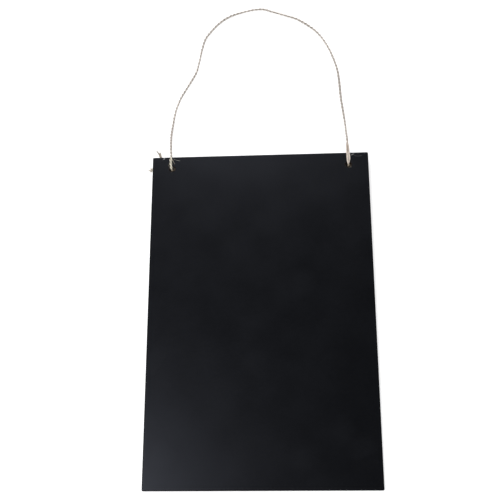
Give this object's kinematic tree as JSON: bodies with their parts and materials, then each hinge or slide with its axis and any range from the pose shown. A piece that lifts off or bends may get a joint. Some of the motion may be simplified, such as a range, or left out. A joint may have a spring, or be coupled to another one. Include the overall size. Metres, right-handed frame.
{
  "type": "hanging chalkboard",
  "caption": "Thin black chalkboard panel with eased edges, hung by a loose jute twine loop that passes through drilled holes and ends in overhand knots behind it.",
  "frame": {"origin": "middle of the panel's outline, on the surface that the board lies on", "axes": "+Y up the panel towards its holes and the loop, +Z out of its writing face, +X to the right seen from the front"},
  "size_m": [0.2055, 0.465, 0.0113],
  "materials": {
    "chalk_paint": "fibreboard under matt black chalkboard paint",
    "jute": "two-ply natural jute twine, hairy"
  },
  "bodies": {
    "board": {"board_panel": "chalk_paint", "left_knot": "jute", "right_knot": "jute", "left_tail_upper": "jute", "left_tail_lower": "jute"},
    "hanging_loop": {"hanging_twine": "jute"}
  },
  "joints": [
    {"name": "loop_swing", "type": "hinge", "parent": "board", "child": "hanging_loop", "pos_m": [0, 0.13842, 0.01014], "axis": [1, 0, 0], "range_deg": [0, 180]}
  ]
}
